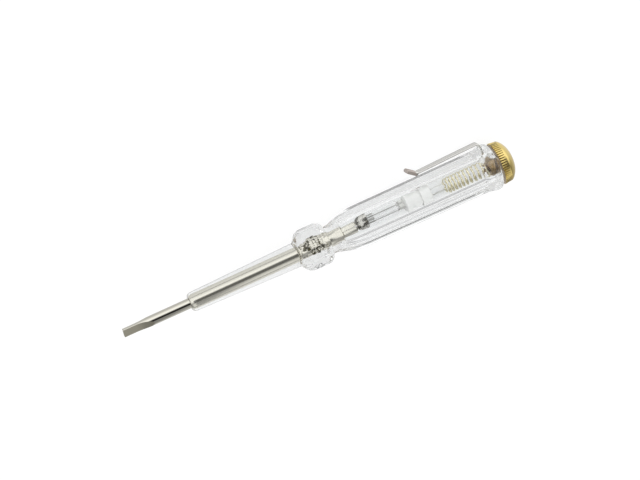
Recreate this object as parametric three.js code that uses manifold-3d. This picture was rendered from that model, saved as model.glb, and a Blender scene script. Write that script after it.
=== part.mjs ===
// Voltage tester screwdriver with a clear moulded handle, in millimetres.
// The tool lies along X. The blade's end face is at the origin and the screw cap is at the far end of +X.
// It lies on its side, with the pocket clip on the +Y side of the grip.

import * as THREE from 'three';
import { mergeVertices } from 'three/addons/utils/BufferGeometryUtils.js';
import Module from 'manifold-3d';

const wasm = await Module();
wasm.setup();

// Lengths along the tool, from the blade's tip to the end of the cap
const bladeBare = 23.5;
const sleeveLength = 39;
const collarLength = 10.7;
const flareLength = 12.3;
const gripLength = 42.9;
const rimLength = 6;
const capLength = 5.3;

// Clearances: end to end, round a seated piece, and how far a cutter runs past the face it cuts
const seatGap = 0.3;
const fitGap = 0.3;
const overrun = 1;

// Blade: a plated rod with a ground slot tip, and pressed ears that lock it in the moulding
const bladeDiameter = 3.4;
const tipThickness = 0.9;
const grindLength = 10.5;
const grindLandShare = 0.42;
const grindTurnShare = 0.7;
const grindRoll = 122;
const tipEdge = 0.12;
const earLength = 3.2;
const earSpan = 4.8;
const earThickness = 1.3;
const stubLength = 5.6;
const stubEdge = 0.3;

// Handle: round sleeve, eight-sided collar, round waist, eight-sided grip and round rim
const sleeveFrontDiameter = 6.5;
const sleeveRearDiameter = 8.3;
const sleeveNose = 2.2;
const sleeveLip = 0.15;
const flats = 8;
const collarAcross = 13.6;
const collarRound = 14.3;
const collarFaceShare = 0.12;
const collarLandShare = 0.34;
const collarTailShare = 0.72;
const collarEdge = 0.3;
const waistDiameter = 9.4;
const gripFrontAcross = 13.3;
const gripRearAcross = 13.8;
const flareLeadShare = 0.27;
const flareFollowShare = 0.6;
const roundMargin = 0.3;
const rimDiameter = 16;
const endDiameter = 13.2;
const rimSink = 0.3;
const rimEdge = 0.3;
const rimFootShare = 1 / 3;
const rimCrestShare = 0.6;
const rimLeadShare = 1 / 4;
const boreDiameter = 7;
const boreSetback = 4.9;

// Lamp: a glass envelope with two rod electrodes, a metal nose cap and a small rear contact
const lampLength = 16.8;
const noseDiameter = 4.8;
const noseLength = 3.4;
const noseWall = 0.35;
const noseTip = 1.1;
const noseBulbShare = 0.55;
const nosePointShare = 0.3;
const noseFloorShare = 0.85;
const glassWall = 0.35;
const glassMouth = 2.2;
const glassLipShare = 1 / 4;
const electrodeDiameter = 0.7;
const electrodeLength = 2.4;
const electrodeSpacing = 1.2;
const leadDiameter = 0.3;
const contactDiameter = 2;
const contactLength = 1.9;

// Resistor: a ceramic rod with a pressed cap on each end and a short lead towards the spring
const resistorDiameter = 5.8;
const resistorLength = 9.2;
const ferruleWall = 0.35;
const frontFerruleLength = 1.8;
const rearFerruleLength = 3.6;
const resistorEdge = 0.4;
const wireDiameter = 0.7;
const wireLength = 5.2;

// Contact spring: right-handed, a small clamping curl at the lead and wider curls towards the cap
const springWire = 0.5;
const springCurls = 11.5;
const springPitchShare = 0.72;
const springFrontDiameter = 5.5;
const springRearDiameter = 5.9;
const clampShare = 0.13;
const curlSteps = 8;
const wireSides = 5;

// Screw cap: ribbed rim, rounded end, threaded stub and a nose inside the last curl of the spring
const capDiameter = 14.4;
const capDisc = 3.6;
const ribLength = 2.2;
const ribHeight = 0.3;
const ribCount = 54;
const stepsPerRib = 4;
const capEdge = 0.25;
const domeReachShare = 0.72;
const domeRoundShare = 0.62;
const stubThreadLength = 2.9;
const stubNoseLength = 1.7;
const stubNoseDiameter = 3;
const stubChamfer = 0.3;

// Pocket clip: one bent strip, held by its foot in a slot in the rim
const clipWidth = 4;
const clipThickness = 0.5;
const clipReach = 25.9;
const hemThickness = 1.4;
const hemRun = 2.2;
const hemRise = 1.7;
const clipFrontHeight = 1.6;
const clipRearHeight = 2.3;
const clipBend = 0.8;
const clipSetback = 3.1;
const footDepth = 3.4;
const clipCorner = 1.2;
const footEdgeShare = 1 / 4;

// Facet counts of the round surfaces
const roundSides = 48;
const innerSides = 32;
const thinSides = 16;
const curvePoints = 9;
const arcPoints = 5;
const hemSteps = 8;

// Places along the tool that follow from the lengths
const sleeveStart = bladeBare;
const collarStart = sleeveStart + sleeveLength;
const waistAt = collarStart + collarLength;
const gripStart = waistAt + flareLength;
const rimStart = gripStart + gripLength;
const handleEnd = rimStart + rimLength;
const capStart = handleEnd + seatGap;
const boreStart = waistAt + boreSetback;
const bladeEnd = boreStart + stubLength;
const lampStart = bladeEnd + seatGap;
const lampEnd = lampStart + lampLength;
const resistorStart = lampEnd + seatGap;
const resistorEnd = resistorStart + resistorLength;
const wireEnd = resistorEnd + seatGap + wireLength;
const stubStart = capStart - stubThreadLength;
const noseStart = stubStart - stubNoseLength;
const clipAt = handleEnd - clipSetback;

// Radii that follow from the sizes
const bladeRadius = bladeDiameter / 2;
const boreRadius = boreDiameter / 2;
const collarRadius = collarRound / 2;
const waistRadius = waistDiameter / 2;
const rimRadius = rimDiameter / 2;
const endRadius = endDiameter / 2;
const cornerOverFlat = 1 / Math.cos(Math.PI / flats);
const gripFrontCorner = gripFrontAcross / 2 * cornerOverFlat;
const gripRearCorner = gripRearAcross / 2 * cornerOverFlat;
const waistCorner = waistRadius * cornerOverFlat;
const threadRadius = boreRadius - fitGap;
const glassRadius = noseDiameter / 2 - noseWall - fitGap;
const glassInner = glassRadius - glassWall;
const lampLift = boreRadius - fitGap - noseDiameter / 2;

// A closed geometry becomes a solid once its shared vertices are merged.
function solid(geometry) {
    const bare = geometry.clone();
    bare.deleteAttribute('normal');
    bare.deleteAttribute('uv');
    const merged = mergeVertices(bare);
    return new wasm.Manifold(new wasm.Mesh({
        numProp: 3,
        vertProperties: new Float32Array(merged.attributes.position.array),
        triVerts: new Uint32Array(merged.index.array),
    }));
}

// A solid gives its vertices and triangles back as a geometry.
function geometryOf(body) {
    const mesh = body.getMesh();
    const geometry = new THREE.BufferGeometry();
    geometry.setAttribute('position', new THREE.BufferAttribute(new Float32Array(mesh.vertProperties), 3));
    geometry.setIndex(new THREE.BufferAttribute(new Uint32Array(mesh.triVerts), 1));
    geometry.computeVertexNormals();
    return geometry;
}

// An outline of (place along X, radius) points is turned about the tool's axis.
// Its points run from the tip towards the cap, and a flat of a few-sided piece faces +Y.
function turned(outline, sides = roundSides) {
    const points = outline.map(([along, radius]) => new THREE.Vector2(radius, along));
    const geometry = new THREE.LatheGeometry(points, sides, Math.PI / sides);
    geometry.rotateZ(-Math.PI / 2);
    return solid(geometry);
}

// A plain round cutter or rod between two places along X.
function rod(start, end, radius, sides = innerSides) {
    return turned([[start, 0], [start, radius], [end, radius], [end, 0]], sides);
}

// The points of a curve between two outline points, without the first one.
function curve(path) {
    return path.getPoints(curvePoints).slice(1).map((point) => [point.x, point.y]);
}

// A quarter-round between two outline points, bulging towards the given corner.
function corner(from, at, to) {
    const bow = new THREE.QuadraticBezierCurve(
        new THREE.Vector2(...from), new THREE.Vector2(...at), new THREE.Vector2(...to));
    return bow.getPoints(arcPoints).map((point) => [point.x, point.y]);
}

// An outline in the XY plane becomes a plate of the given width, centred on Z.
function plate(points, width) {
    const shape = new THREE.Shape(points.map(([x, y]) => new THREE.Vector2(x, y)));
    const geometry = new THREE.ExtrudeGeometry(shape, { depth: width, bevelEnabled: false });
    geometry.translate(0, 0, -width / 2);
    return solid(geometry);
}

function finish(colour, roughness, metalness, opacity = 1) {
    return new THREE.MeshStandardMaterial({
        color: colour, roughness, metalness, opacity, transparent: opacity < 1,
    });
}

const clearPlastic = finish('#e4e8ea', 0.08, 0, 0.35);
const nickel = finish('#b9b8b2', 0.2, 1);
const lampGlass = finish('#eef2f2', 0.02, 0, 0.3);
const ceramic = finish('#c9cac2', 0.55, 0);
const tin = finish('#a9a9a4', 0.35, 1);
const brass = finish('#c9a245', 0.25, 1);
const springSteel = finish('#b7ab84', 0.25, 1);

const tester = new THREE.Group();

function add(name, body, material) {
    const mesh = new THREE.Mesh(geometryOf(body), material);
    mesh.name = name;
    tester.add(mesh);
    return mesh;
}

// Blade: the rod, with two ramps ground to the slot tip and two ears pressed out inside the collar
function earBlank(grow) {
    const start = collarStart + (collarLength - earLength) / 2 - grow;
    const end = start + earLength + 2 * grow;
    const tall = earSpan / 2 + grow;
    const ramp = tall - bladeRadius;
    const outline = [
        [start, -bladeRadius], [start + ramp, -tall], [end - ramp, -tall], [end, -bladeRadius],
        [end, bladeRadius], [end - ramp, tall], [start + ramp, tall], [start, bladeRadius],
    ];
    return plate(outline, earThickness + 2 * grow);
}

function blade() {
    const edge = bladeRadius - tipEdge;
    const shank = turned([
        [0, 0], [0, edge], [tipEdge, bladeRadius],
        [bladeEnd - stubEdge, bladeRadius], [bladeEnd, bladeRadius - stubEdge], [bladeEnd, 0],
    ]);
    const face = tipThickness / 2;
    const land = grindLength * grindLandShare;
    const turn = grindLength * grindTurnShare;
    const clear = bladeRadius + overrun;
    const stone = plate([
        [-overrun, face], ...corner([land, face], [turn, face], [grindLength, bladeRadius]),
        [grindLength + overrun, clear], [-overrun, clear],
    ], 2 * clear);
    const ground = shank.subtract(stone).subtract(stone.rotate([180, 0, 0]));
    return ground.rotate([grindRoll, 0, 0]).add(earBlank(0));
}

// Handle: the moulded outside is made of turned and eight-sided stretches, then the hollows are cut
function sleeve() {
    const front = sleeveFrontDiameter / 2;
    const mouth = bladeRadius + fitGap + sleeveLip;
    return turned([
        [sleeveStart, 0],
        ...corner([sleeveStart, mouth], [sleeveStart, front], [sleeveStart + sleeveNose, front]),
        [collarStart, sleeveRearDiameter / 2],
        [collarStart + collarLength / 2, sleeveRearDiameter / 2],
        [waistAt, waistRadius],
        [waistAt + boreSetback / 2, waistRadius],
        [waistAt + boreSetback / 2, 0],
    ]);
}

function collar() {
    const face = collarStart + collarLength * collarFaceShare;
    const landStart = collarStart + collarLength * collarLandShare;
    const landEnd = collarStart + collarLength * collarTailShare;
    const round = turned([
        [collarStart, 0],
        ...corner([collarStart, waistRadius], [face, collarRadius], [landStart, collarRadius]),
        ...corner([landEnd, collarRadius], [waistAt - collarEdge, collarRadius], [waistAt, waistRadius]),
        [waistAt, 0],
    ]);
    const flatRadius = collarAcross / 2 * cornerOverFlat;
    return round.intersect(rod(collarStart - overrun, waistAt + overrun, flatRadius, flats));
}

function grip() {
    const flare = (start, end) => curve(new THREE.CubicBezierCurve(
        new THREE.Vector2(waistAt, start),
        new THREE.Vector2(waistAt + flareLength * flareLeadShare, start),
        new THREE.Vector2(waistAt + flareLength * flareFollowShare, end),
        new THREE.Vector2(gripStart, end)));
    const facets = turned([
        [waistAt, 0], [waistAt, waistCorner], ...flare(waistCorner, gripFrontCorner),
        [rimStart + rimLength / 2, gripRearCorner], [rimStart + rimLength / 2, 0],
    ], flats);
    const round = turned([
        [waistAt, 0], [waistAt, waistRadius], ...flare(waistRadius, gripFrontCorner + roundMargin),
        [handleEnd, gripRearCorner + overrun], [handleEnd, 0],
    ]);
    return facets.intersect(round);
}

function rim() {
    const root = gripRearAcross / 2 - rimSink;
    const foot = rimStart - rimLength * rimFootShare;
    const crest = rimStart + rimLength * rimCrestShare;
    const swell = curve(new THREE.CubicBezierCurve(
        new THREE.Vector2(foot, root),
        new THREE.Vector2(rimStart, root + rimSink),
        new THREE.Vector2(crest - rimLength * rimLeadShare, rimRadius),
        new THREE.Vector2(crest, rimRadius)));
    return turned([
        [foot, 0], [foot, root], ...swell,
        ...corner([crest, rimRadius], [handleEnd - rimEdge, rimRadius], [handleEnd, endRadius]).slice(1),
        [handleEnd, 0],
    ]);
}

function clipSlot() {
    const half = clipThickness / 2 + fitGap;
    const floor = rimRadius - footDepth - fitGap;
    const top = rimRadius + overrun;
    return plate([[clipAt - half, floor], [clipAt + half, floor], [clipAt + half, top], [clipAt - half, top]],
        clipWidth + 2 * fitGap);
}

function handle() {
    const moulded = sleeve().add(collar()).add(grip()).add(rim());
    return moulded
        .subtract(rod(sleeveStart - overrun, boreStart + overrun, bladeRadius + fitGap))
        .subtract(earBlank(fitGap))
        .subtract(rod(boreStart, handleEnd + overrun, boreRadius))
        .subtract(clipSlot());
}

// Lamp: thinner than the bore, it lies against the wall on the clip's side.
// Each end of the glass is drawn in to a small mouth that the electrode's lead passes through.
const glassStart = lampStart + noseTip + fitGap;
const glassEnd = lampEnd - contactLength;
const noseEnd = lampStart + noseLength;

function lying(body) {
    return body.translate([0, lampLift, 0]);
}

function glass() {
    const mouth = glassMouth / 2;
    const lip = mouth + glassWall * glassLipShare;
    const round = glassRadius - mouth;
    const innerRound = glassInner - mouth;
    const innerStart = glassStart + glassWall;
    const innerEnd = glassEnd - glassWall;
    return lying(turned([
        [glassStart, mouth],
        ...corner([glassStart, lip], [glassStart, glassRadius], [glassStart + round, glassRadius]),
        ...corner([glassEnd - round, glassRadius], [glassEnd, glassRadius], [glassEnd, lip]),
        [glassEnd, mouth],
        [innerEnd, mouth],
        ...corner([innerEnd, lip], [innerEnd, glassInner], [innerEnd - innerRound, glassInner]),
        ...corner([innerStart + innerRound, glassInner], [innerStart, glassInner], [innerStart, lip]),
        [innerStart, mouth],
        [glassStart, mouth],
    ], innerSides));
}

function noseCap() {
    const outer = noseDiameter / 2;
    const inner = outer - noseWall;
    const bulb = lampStart + noseLength * noseBulbShare;
    return lying(turned([
        [lampStart, 0],
        ...corner([lampStart, outer * nosePointShare], [lampStart + noseTip / 2, outer], [bulb, outer]),
        [noseEnd, outer], [noseEnd, inner],
        [bulb, inner],
        [lampStart + noseTip, inner * noseFloorShare],
        [lampStart + noseTip, 0],
    ], innerSides));
}

const electrodeStart = noseEnd + seatGap;

function electrode(side, leadStart, leadEnd) {
    const body = rod(electrodeStart, electrodeStart + electrodeLength, electrodeDiameter / 2, thinSides);
    const lead = rod(leadStart, leadEnd, leadDiameter / 2, flats);
    return lying(body.add(lead).translate([0, side * electrodeSpacing / 2, 0]));
}

const frontLeadStart = lampStart + noseTip + seatGap;
const rearLeadEnd = glassEnd - seatGap;

function rearContact() {
    const outer = contactDiameter / 2;
    const seat = glassEnd + seatGap;
    return lying(turned([
        [seat, 0], [seat, outer],
        ...corner([lampEnd - outer / 2, outer], [lampEnd, outer], [lampEnd, outer / 2]),
        [lampEnd, 0],
    ], innerSides));
}

// Resistor: the rod ends sit in two cups, and the lead stands out of the rear cup's face
const rodRadius = resistorDiameter / 2 - ferruleWall;
const ferruleInner = resistorDiameter / 2 - ferruleWall + fitGap;
const ferruleOuter = ferruleInner + ferruleWall;

function ferrule(closedEnd, openEnd) {
    const inward = Math.sign(openEnd - closedEnd);
    const along = (distance) => closedEnd + inward * distance;
    const cup = [
        [along(0), 0],
        ...corner([along(0), ferruleOuter - resistorEdge], [along(0), ferruleOuter],
            [along(resistorEdge), ferruleOuter]),
        [openEnd, ferruleOuter], [openEnd, ferruleInner],
        [along(ferruleWall), ferruleInner], [along(ferruleWall), 0],
    ];
    return turned(inward > 0 ? cup : cup.reverse(), innerSides);
}

function resistorRod() {
    const start = resistorStart + ferruleWall + seatGap;
    const end = resistorEnd - ferruleWall - seatGap;
    const shoulder = rodRadius - resistorEdge;
    return turned([
        [start, 0], [start, shoulder], [start + resistorEdge, rodRadius],
        [end - resistorEdge, rodRadius], [end, shoulder], [end, 0],
    ], innerSides);
}

// Contact spring: one tube along a helix whose radius opens from the clamping curl to full size
const springRoom = stubStart - seatGap - springWire / 2;
const springStart = wireEnd - springWire;
const clampRadius = wireDiameter / 2 + fitGap + springWire / 2;

function springRadius(share) {
    const body = (springFrontDiameter - springWire) / 2;
    const rear = (springRearDiameter - springWire) / 2;
    const open = body + (rear - body) * share;
    const eased = Math.min(share / clampShare, 1);
    return clampRadius + (open - clampRadius) * Math.sin(eased * Math.PI / 2);
}

function springPath() {
    const steps = springCurls * curlSteps;
    const points = [];
    for (let step = 0; step <= steps; step += 1) {
        const share = step / steps;
        const turn = step / curlSteps * 2 * Math.PI;
        const radius = springRadius(share);
        const widening = springPitchShare + (1 - springPitchShare) * share;
        const along = springStart + (springRoom - springStart) * share * widening;
        points.push(new THREE.Vector3(along, radius * Math.cos(turn), radius * Math.sin(turn)));
    }
    return points;
}

function straightEnd(point, neighbour) {
    const out = new THREE.Vector3(0, point.y - neighbour.y, point.z - neighbour.z).setLength(springWire);
    return point.clone().add(out);
}

function springTube() {
    const path = springPath();
    path.unshift(straightEnd(path[0], path[1]));
    path.push(straightEnd(path[path.length - 1], path[path.length - 2]));
    const axis = new THREE.Vector3(1, 0, 0);
    const positions = [];
    const indices = [];
    path.forEach((point, index) => {
        const before = path[Math.max(index - 1, 0)];
        const after = path[Math.min(index + 1, path.length - 1)];
        const tangent = after.clone().sub(before).normalize();
        const side = new THREE.Vector3().crossVectors(tangent, axis).normalize();
        const up = new THREE.Vector3().crossVectors(side, tangent).normalize();
        for (let turn = 0; turn < wireSides; turn += 1) {
            const angle = turn / wireSides * 2 * Math.PI;
            const place = point.clone()
                .addScaledVector(side, springWire / 2 * Math.cos(angle))
                .addScaledVector(up, springWire / 2 * Math.sin(angle));
            positions.push(place.x, place.y, place.z);
        }
    });
    for (let ring = 0; ring < path.length - 1; ring += 1) {
        for (let turn = 0; turn < wireSides; turn += 1) {
            const next = (turn + 1) % wireSides;
            const near = ring * wireSides;
            const far = near + wireSides;
            indices.push(near + turn, far + turn, far + next, near + turn, far + next, near + next);
        }
    }
    const last = (path.length - 1) * wireSides;
    for (let turn = 1; turn < wireSides - 1; turn += 1) {
        indices.push(0, turn, turn + 1, last, last + turn + 1, last + turn);
    }
    const geometry = new THREE.BufferGeometry();
    geometry.setAttribute('position', new THREE.Float32BufferAttribute(positions, 3));
    geometry.setIndex(indices);
    return geometry;
}

// The least gap between strands that lie half a curl or more apart along the wire
function leastGap(path, wire) {
    let least = Infinity;
    const reach = curlSteps / 2;
    for (let first = 0; first < path.length; first += 1) {
        for (let second = first + reach; second < path.length; second += 1) {
            least = Math.min(least, path[first].distanceTo(path[second]) - wire);
        }
    }
    return least;
}

// Screw cap: a turned body whose rim is cut into ribs by one ring with a scalloped hole
function ribCutter() {
    const outer = capDiameter / 2 + overrun;
    const shape = new THREE.Shape();
    shape.absarc(0, 0, outer, 0, 2 * Math.PI);
    const scallops = new THREE.Path();
    const count = ribCount * stepsPerRib;
    for (let step = 0; step <= count; step += 1) {
        const angle = step / count * 2 * Math.PI;
        const radius = capDiameter / 2 - ribHeight * (1 - Math.cos(ribCount * angle)) / 2;
        const x = radius * Math.cos(angle);
        const y = radius * Math.sin(angle);
        if (step === 0) scallops.moveTo(x, y);
        else if (step < count) scallops.lineTo(x, y);
        else scallops.closePath();
    }
    shape.holes.push(scallops);
    const geometry = new THREE.ExtrudeGeometry(shape, {
        depth: ribLength + overrun, bevelEnabled: false, curveSegments: roundSides,
    });
    geometry.rotateY(Math.PI / 2);
    geometry.translate(capStart - overrun, 0, 0);
    return solid(geometry);
}

function screwCap() {
    const outer = capDiameter / 2;
    const shoulder = capStart + ribLength + capEdge;
    const end = capStart + capLength;
    const nose = stubNoseDiameter / 2;
    const dome = curve(new THREE.CubicBezierCurve(
        new THREE.Vector2(shoulder, outer),
        new THREE.Vector2(end - (end - shoulder) * domeReachShare, outer),
        new THREE.Vector2(end, outer * domeRoundShare),
        new THREE.Vector2(end, capDisc / 2)));
    const body = turned([
        [noseStart, 0], [noseStart, nose - stubChamfer], [noseStart + stubChamfer, nose],
        [stubStart, nose], [stubStart, threadRadius - stubChamfer], [stubStart + stubChamfer, threadRadius],
        [capStart, threadRadius], [capStart, outer - capEdge], [capStart + capEdge, outer],
        ...dome, [end, 0],
    ]);
    return body.subtract(ribCutter());
}

// Pocket clip: the strip's middle line is offset to both sides, and the foot is the same strip lower down
const gripFlatAtClip = gripRearAcross / 2;
const footTop = rimRadius - clipThickness - fitGap;
const armRear = gripFlatAtClip + clipRearHeight;
const armFront = gripFlatAtClip + clipFrontHeight;

function stripOutline(middle) {
    const half = clipThickness / 2;
    const normals = middle.map((point, index) => {
        const before = middle[Math.max(index - 1, 0)];
        const after = middle[Math.min(index + 1, middle.length - 1)];
        const run = after.clone().sub(before).normalize();
        return new THREE.Vector2(-run.y, run.x);
    });
    const above = middle.map((point, index) => point.clone().addScaledVector(normals[index], half));
    const below = middle.map((point, index) => point.clone().addScaledVector(normals[index], -half));
    return [...below, ...above.reverse()].map((point) => [point.x, point.y]);
}

// The free end is folded over into a thick rounded hem that rises away from the grip.
function hem(foot, end) {
    const radius = hemThickness / 2;
    const heading = end.clone().sub(foot).angle();
    const round = (centre, start) => Array.from({ length: hemSteps + 1 }, (_, step) => {
        const angle = start + Math.PI * step / hemSteps;
        return [centre.x + radius * Math.cos(angle), centre.y + radius * Math.sin(angle)];
    });
    const quarter = Math.PI / 2;
    return plate([...round(end, heading - quarter), ...round(foot, heading + quarter)], clipWidth);
}

function clipArm() {
    const bendLow = new THREE.Vector2(clipAt, armRear - clipBend);
    const bendCorner = new THREE.Vector2(clipAt, armRear);
    const hemEnd = new THREE.Vector2(clipAt - clipReach + hemThickness / 2, armFront + hemRise);
    const hemFoot = new THREE.Vector2(hemEnd.x + hemRun, armFront);
    const bendHigh = bendCorner.clone().lerp(hemFoot, clipBend / bendCorner.distanceTo(hemFoot));
    const middle = [
        hemFoot,
        ...new THREE.QuadraticBezierCurve(bendHigh, bendCorner, bendLow).getPoints(arcPoints),
        new THREE.Vector2(clipAt, footTop + fitGap),
    ];
    const strip = plate(stripOutline(middle), clipWidth).add(hem(hemFoot, hemEnd));
    return strip.intersect(clipPlan());
}

// The strip seen from its back has rounded corners at its free end.
function clipPlan() {
    const half = clipWidth / 2;
    const front = clipAt - clipReach - clipThickness;
    const rear = clipAt + clipThickness;
    const shape = new THREE.Shape();
    shape.moveTo(rear, -half);
    shape.lineTo(rear, half);
    shape.lineTo(front + clipCorner, half);
    shape.quadraticCurveTo(front, half, front, half - clipCorner);
    shape.lineTo(front, clipCorner - half);
    shape.quadraticCurveTo(front, -half, front + clipCorner, -half);
    shape.closePath();
    const tall = armRear + hemRise + overrun;
    const geometry = new THREE.ExtrudeGeometry(shape, {
        depth: tall, bevelEnabled: false, curveSegments: arcPoints,
    });
    geometry.rotateX(-Math.PI / 2);
    return solid(geometry);
}

function clipFoot() {
    const half = clipThickness / 2;
    const low = rimRadius - footDepth;
    const edge = clipThickness * footEdgeShare;
    return plate([
        [clipAt - half, low + edge], [clipAt - edge, low], [clipAt + edge, low], [clipAt + half, low + edge],
        [clipAt + half, footTop], [clipAt - half, footTop],
    ], clipWidth);
}

add('blade', blade(), nickel);
add('handle', handle(), clearPlastic);
add('lamp_nose_cap', noseCap(), tin);
add('lamp_glass', glass(), lampGlass);
add('front_electrode', electrode(-1, frontLeadStart, electrodeStart + electrodeDiameter), nickel);
add('rear_electrode', electrode(1, electrodeStart + electrodeDiameter, rearLeadEnd), nickel);
add('lamp_rear_contact', rearContact(), tin);
add('resistor_front_cap', ferrule(resistorStart, resistorStart + frontFerruleLength), tin);
add('resistor_rod', resistorRod(), ceramic);
add('resistor_rear_cap', ferrule(resistorEnd, resistorEnd - rearFerruleLength), tin);
add('resistor_lead', rod(resistorEnd + seatGap, wireEnd, wireDiameter / 2, thinSides), tin);
add('contact_spring', solid(springTube()), springSteel);
add('screw_cap', screwCap(), brass);
add('clip_foot', clipFoot(), nickel);
add('clip_arm', clipArm(), nickel);

console.log('least gap between the curls of contact_spring, mm:', leastGap(springPath(), springWire).toFixed(2));

export default tester;
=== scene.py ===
"""Voltage tester screwdriver: the looks of its clear handle, blade, lamp, resistor, spring, cap and clip."""

import math

import bmesh
import bpy
from mathutils import Matrix, Vector


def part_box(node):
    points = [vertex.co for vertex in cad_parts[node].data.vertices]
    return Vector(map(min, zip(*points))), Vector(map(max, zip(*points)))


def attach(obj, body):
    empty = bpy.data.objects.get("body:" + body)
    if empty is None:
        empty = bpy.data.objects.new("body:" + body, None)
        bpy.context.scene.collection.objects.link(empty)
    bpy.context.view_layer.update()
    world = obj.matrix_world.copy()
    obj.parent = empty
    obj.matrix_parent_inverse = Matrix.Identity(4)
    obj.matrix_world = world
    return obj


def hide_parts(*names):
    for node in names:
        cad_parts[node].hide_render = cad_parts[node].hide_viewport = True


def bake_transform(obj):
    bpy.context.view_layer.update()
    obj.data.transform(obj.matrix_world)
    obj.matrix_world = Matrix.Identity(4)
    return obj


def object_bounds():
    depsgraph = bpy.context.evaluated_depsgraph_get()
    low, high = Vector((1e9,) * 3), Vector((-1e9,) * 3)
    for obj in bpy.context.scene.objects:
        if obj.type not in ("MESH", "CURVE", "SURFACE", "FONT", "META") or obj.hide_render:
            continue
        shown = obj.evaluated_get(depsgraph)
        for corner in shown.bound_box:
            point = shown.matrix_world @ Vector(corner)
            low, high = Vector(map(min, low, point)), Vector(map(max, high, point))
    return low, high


bl_info = {
    "name": "Voltage tester screwdriver",
    "version": (1, 0, 0),
    "blender": (4, 5, 0),
    "location": "3D View > Sidebar > Tester",
    "description": "Models and finishes a clear-handled voltage tester screwdriver around its fixed frame",
    "category": "Object",
}

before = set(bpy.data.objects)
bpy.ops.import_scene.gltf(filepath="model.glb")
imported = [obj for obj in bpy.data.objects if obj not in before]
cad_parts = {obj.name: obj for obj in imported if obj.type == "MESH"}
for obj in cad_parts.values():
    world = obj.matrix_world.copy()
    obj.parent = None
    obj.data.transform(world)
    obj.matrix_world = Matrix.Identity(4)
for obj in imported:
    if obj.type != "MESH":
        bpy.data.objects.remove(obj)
CAD_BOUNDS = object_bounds()

MM = 0.001
WHOLE_TURN = 2 * math.pi
FLATS = 8
HALF_FLAT = math.pi / FLATS
# From half the size across the flats to a corner
CORNER = 1 / math.cos(HALF_FLAT)
# How far a cutting solid reaches past the piece that it cuts
OVERRUN = 1 * MM


def stretch(node):
    """Where a CAD node starts and ends along the tool."""
    low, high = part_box(node)
    return low.x, high.x


# Places along the tool, read from the frame
TIP, BLADE_END = stretch("blade")
SLEEVE_START, HANDLE_END = stretch("handle")
NOSE_START, NOSE_END = stretch("lamp_nose_cap")
GLASS_START, GLASS_END = stretch("lamp_glass")
CONTACT_START, CONTACT_END = stretch("lamp_rear_contact")
FRONT_LEAD_START, FRONT_ELECTRODE_END = stretch("front_electrode")
REAR_ELECTRODE_START, REAR_LEAD_END = stretch("rear_electrode")
ROD_START, ROD_END = stretch("resistor_rod")
RESISTOR_START, FRONT_CAP_END = stretch("resistor_front_cap")
REAR_CAP_START, RESISTOR_END = stretch("resistor_rear_cap")
WIRE_START, WIRE_END = stretch("resistor_lead")
SPRING_START, SPRING_END = stretch("contact_spring")
STUB_NOSE, CAP_END = stretch("screw_cap")
CLIP_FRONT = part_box("clip_arm")[0].x


def linear(hex_colour):
    """An sRGB hex colour as linear red, green and blue."""
    channels = [int(hex_colour[place:place + 2], 16) / 255 for place in (1, 3, 5)]
    return [c / 12.92 if c <= 0.04045 else ((c + 0.055) / 1.055) ** 2.4 for c in channels]


def length(name, millimetres, description):
    """A size that a user may change."""
    return bpy.props.FloatProperty(
        name=name, description=description, default=millimetres * MM, unit="LENGTH", precision=5)


def colour(name, hex_colour, description):
    """A colour that a user may change."""
    return bpy.props.FloatVectorProperty(
        name=name, description=description, default=linear(hex_colour), size=3,
        subtype="COLOR", min=0, max=1)


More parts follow.
